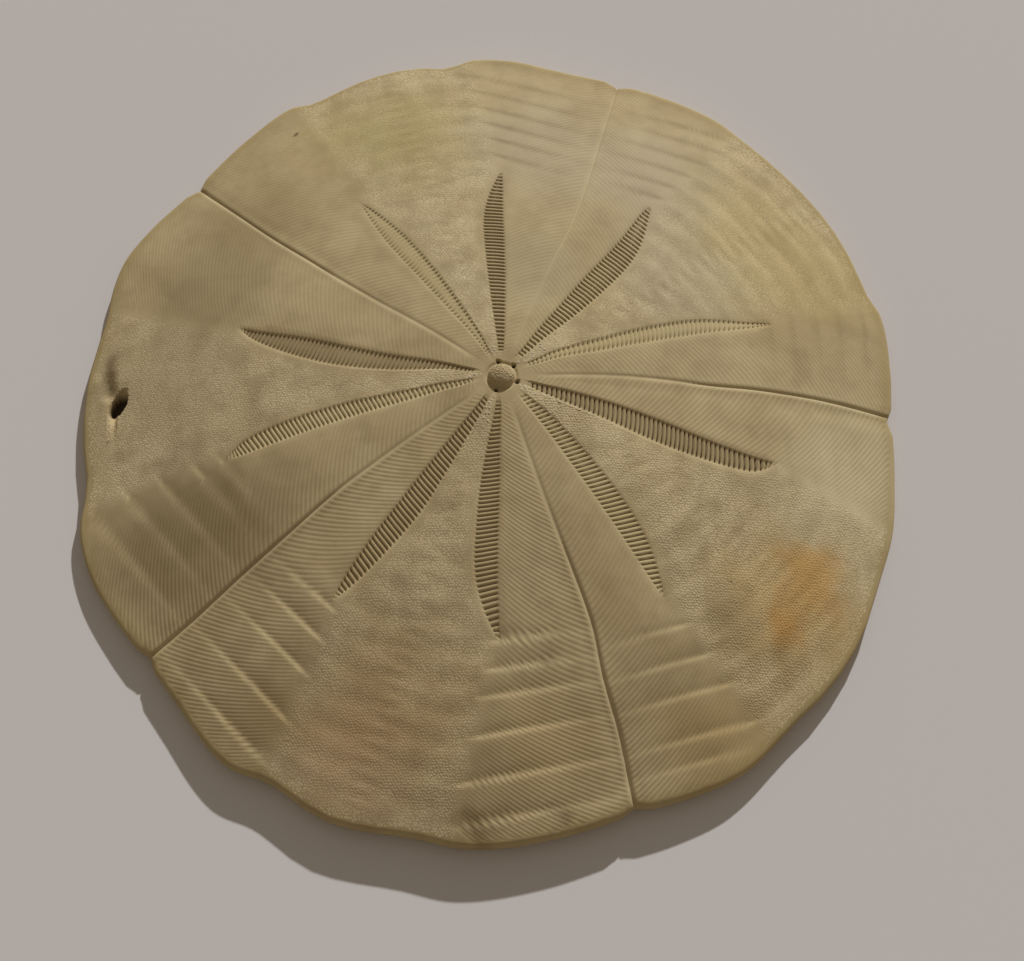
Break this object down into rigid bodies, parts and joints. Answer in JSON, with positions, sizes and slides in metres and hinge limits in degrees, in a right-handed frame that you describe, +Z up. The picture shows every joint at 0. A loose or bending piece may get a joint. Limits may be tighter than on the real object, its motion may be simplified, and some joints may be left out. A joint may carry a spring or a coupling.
{
  "type": "sand dollar",
  "caption": "Dried sand dollar: a low domed disc of pale calcite with slit petals, notched furrows and ledges, lying on its flat underside.",
  "frame": {"origin": "centre of the bounding box, on the surface that the shell lies on", "axes": "+X towards the animal's front, +Y towards its left side, +Z up"},
  "size_m": [0.0802, 0.087, 0.009],
  "materials": {
    "calcite": "matt"
  },
  "bodies": {
    "root": {"sand_dollar_test": "calcite"}
  },
  "joints": []
}
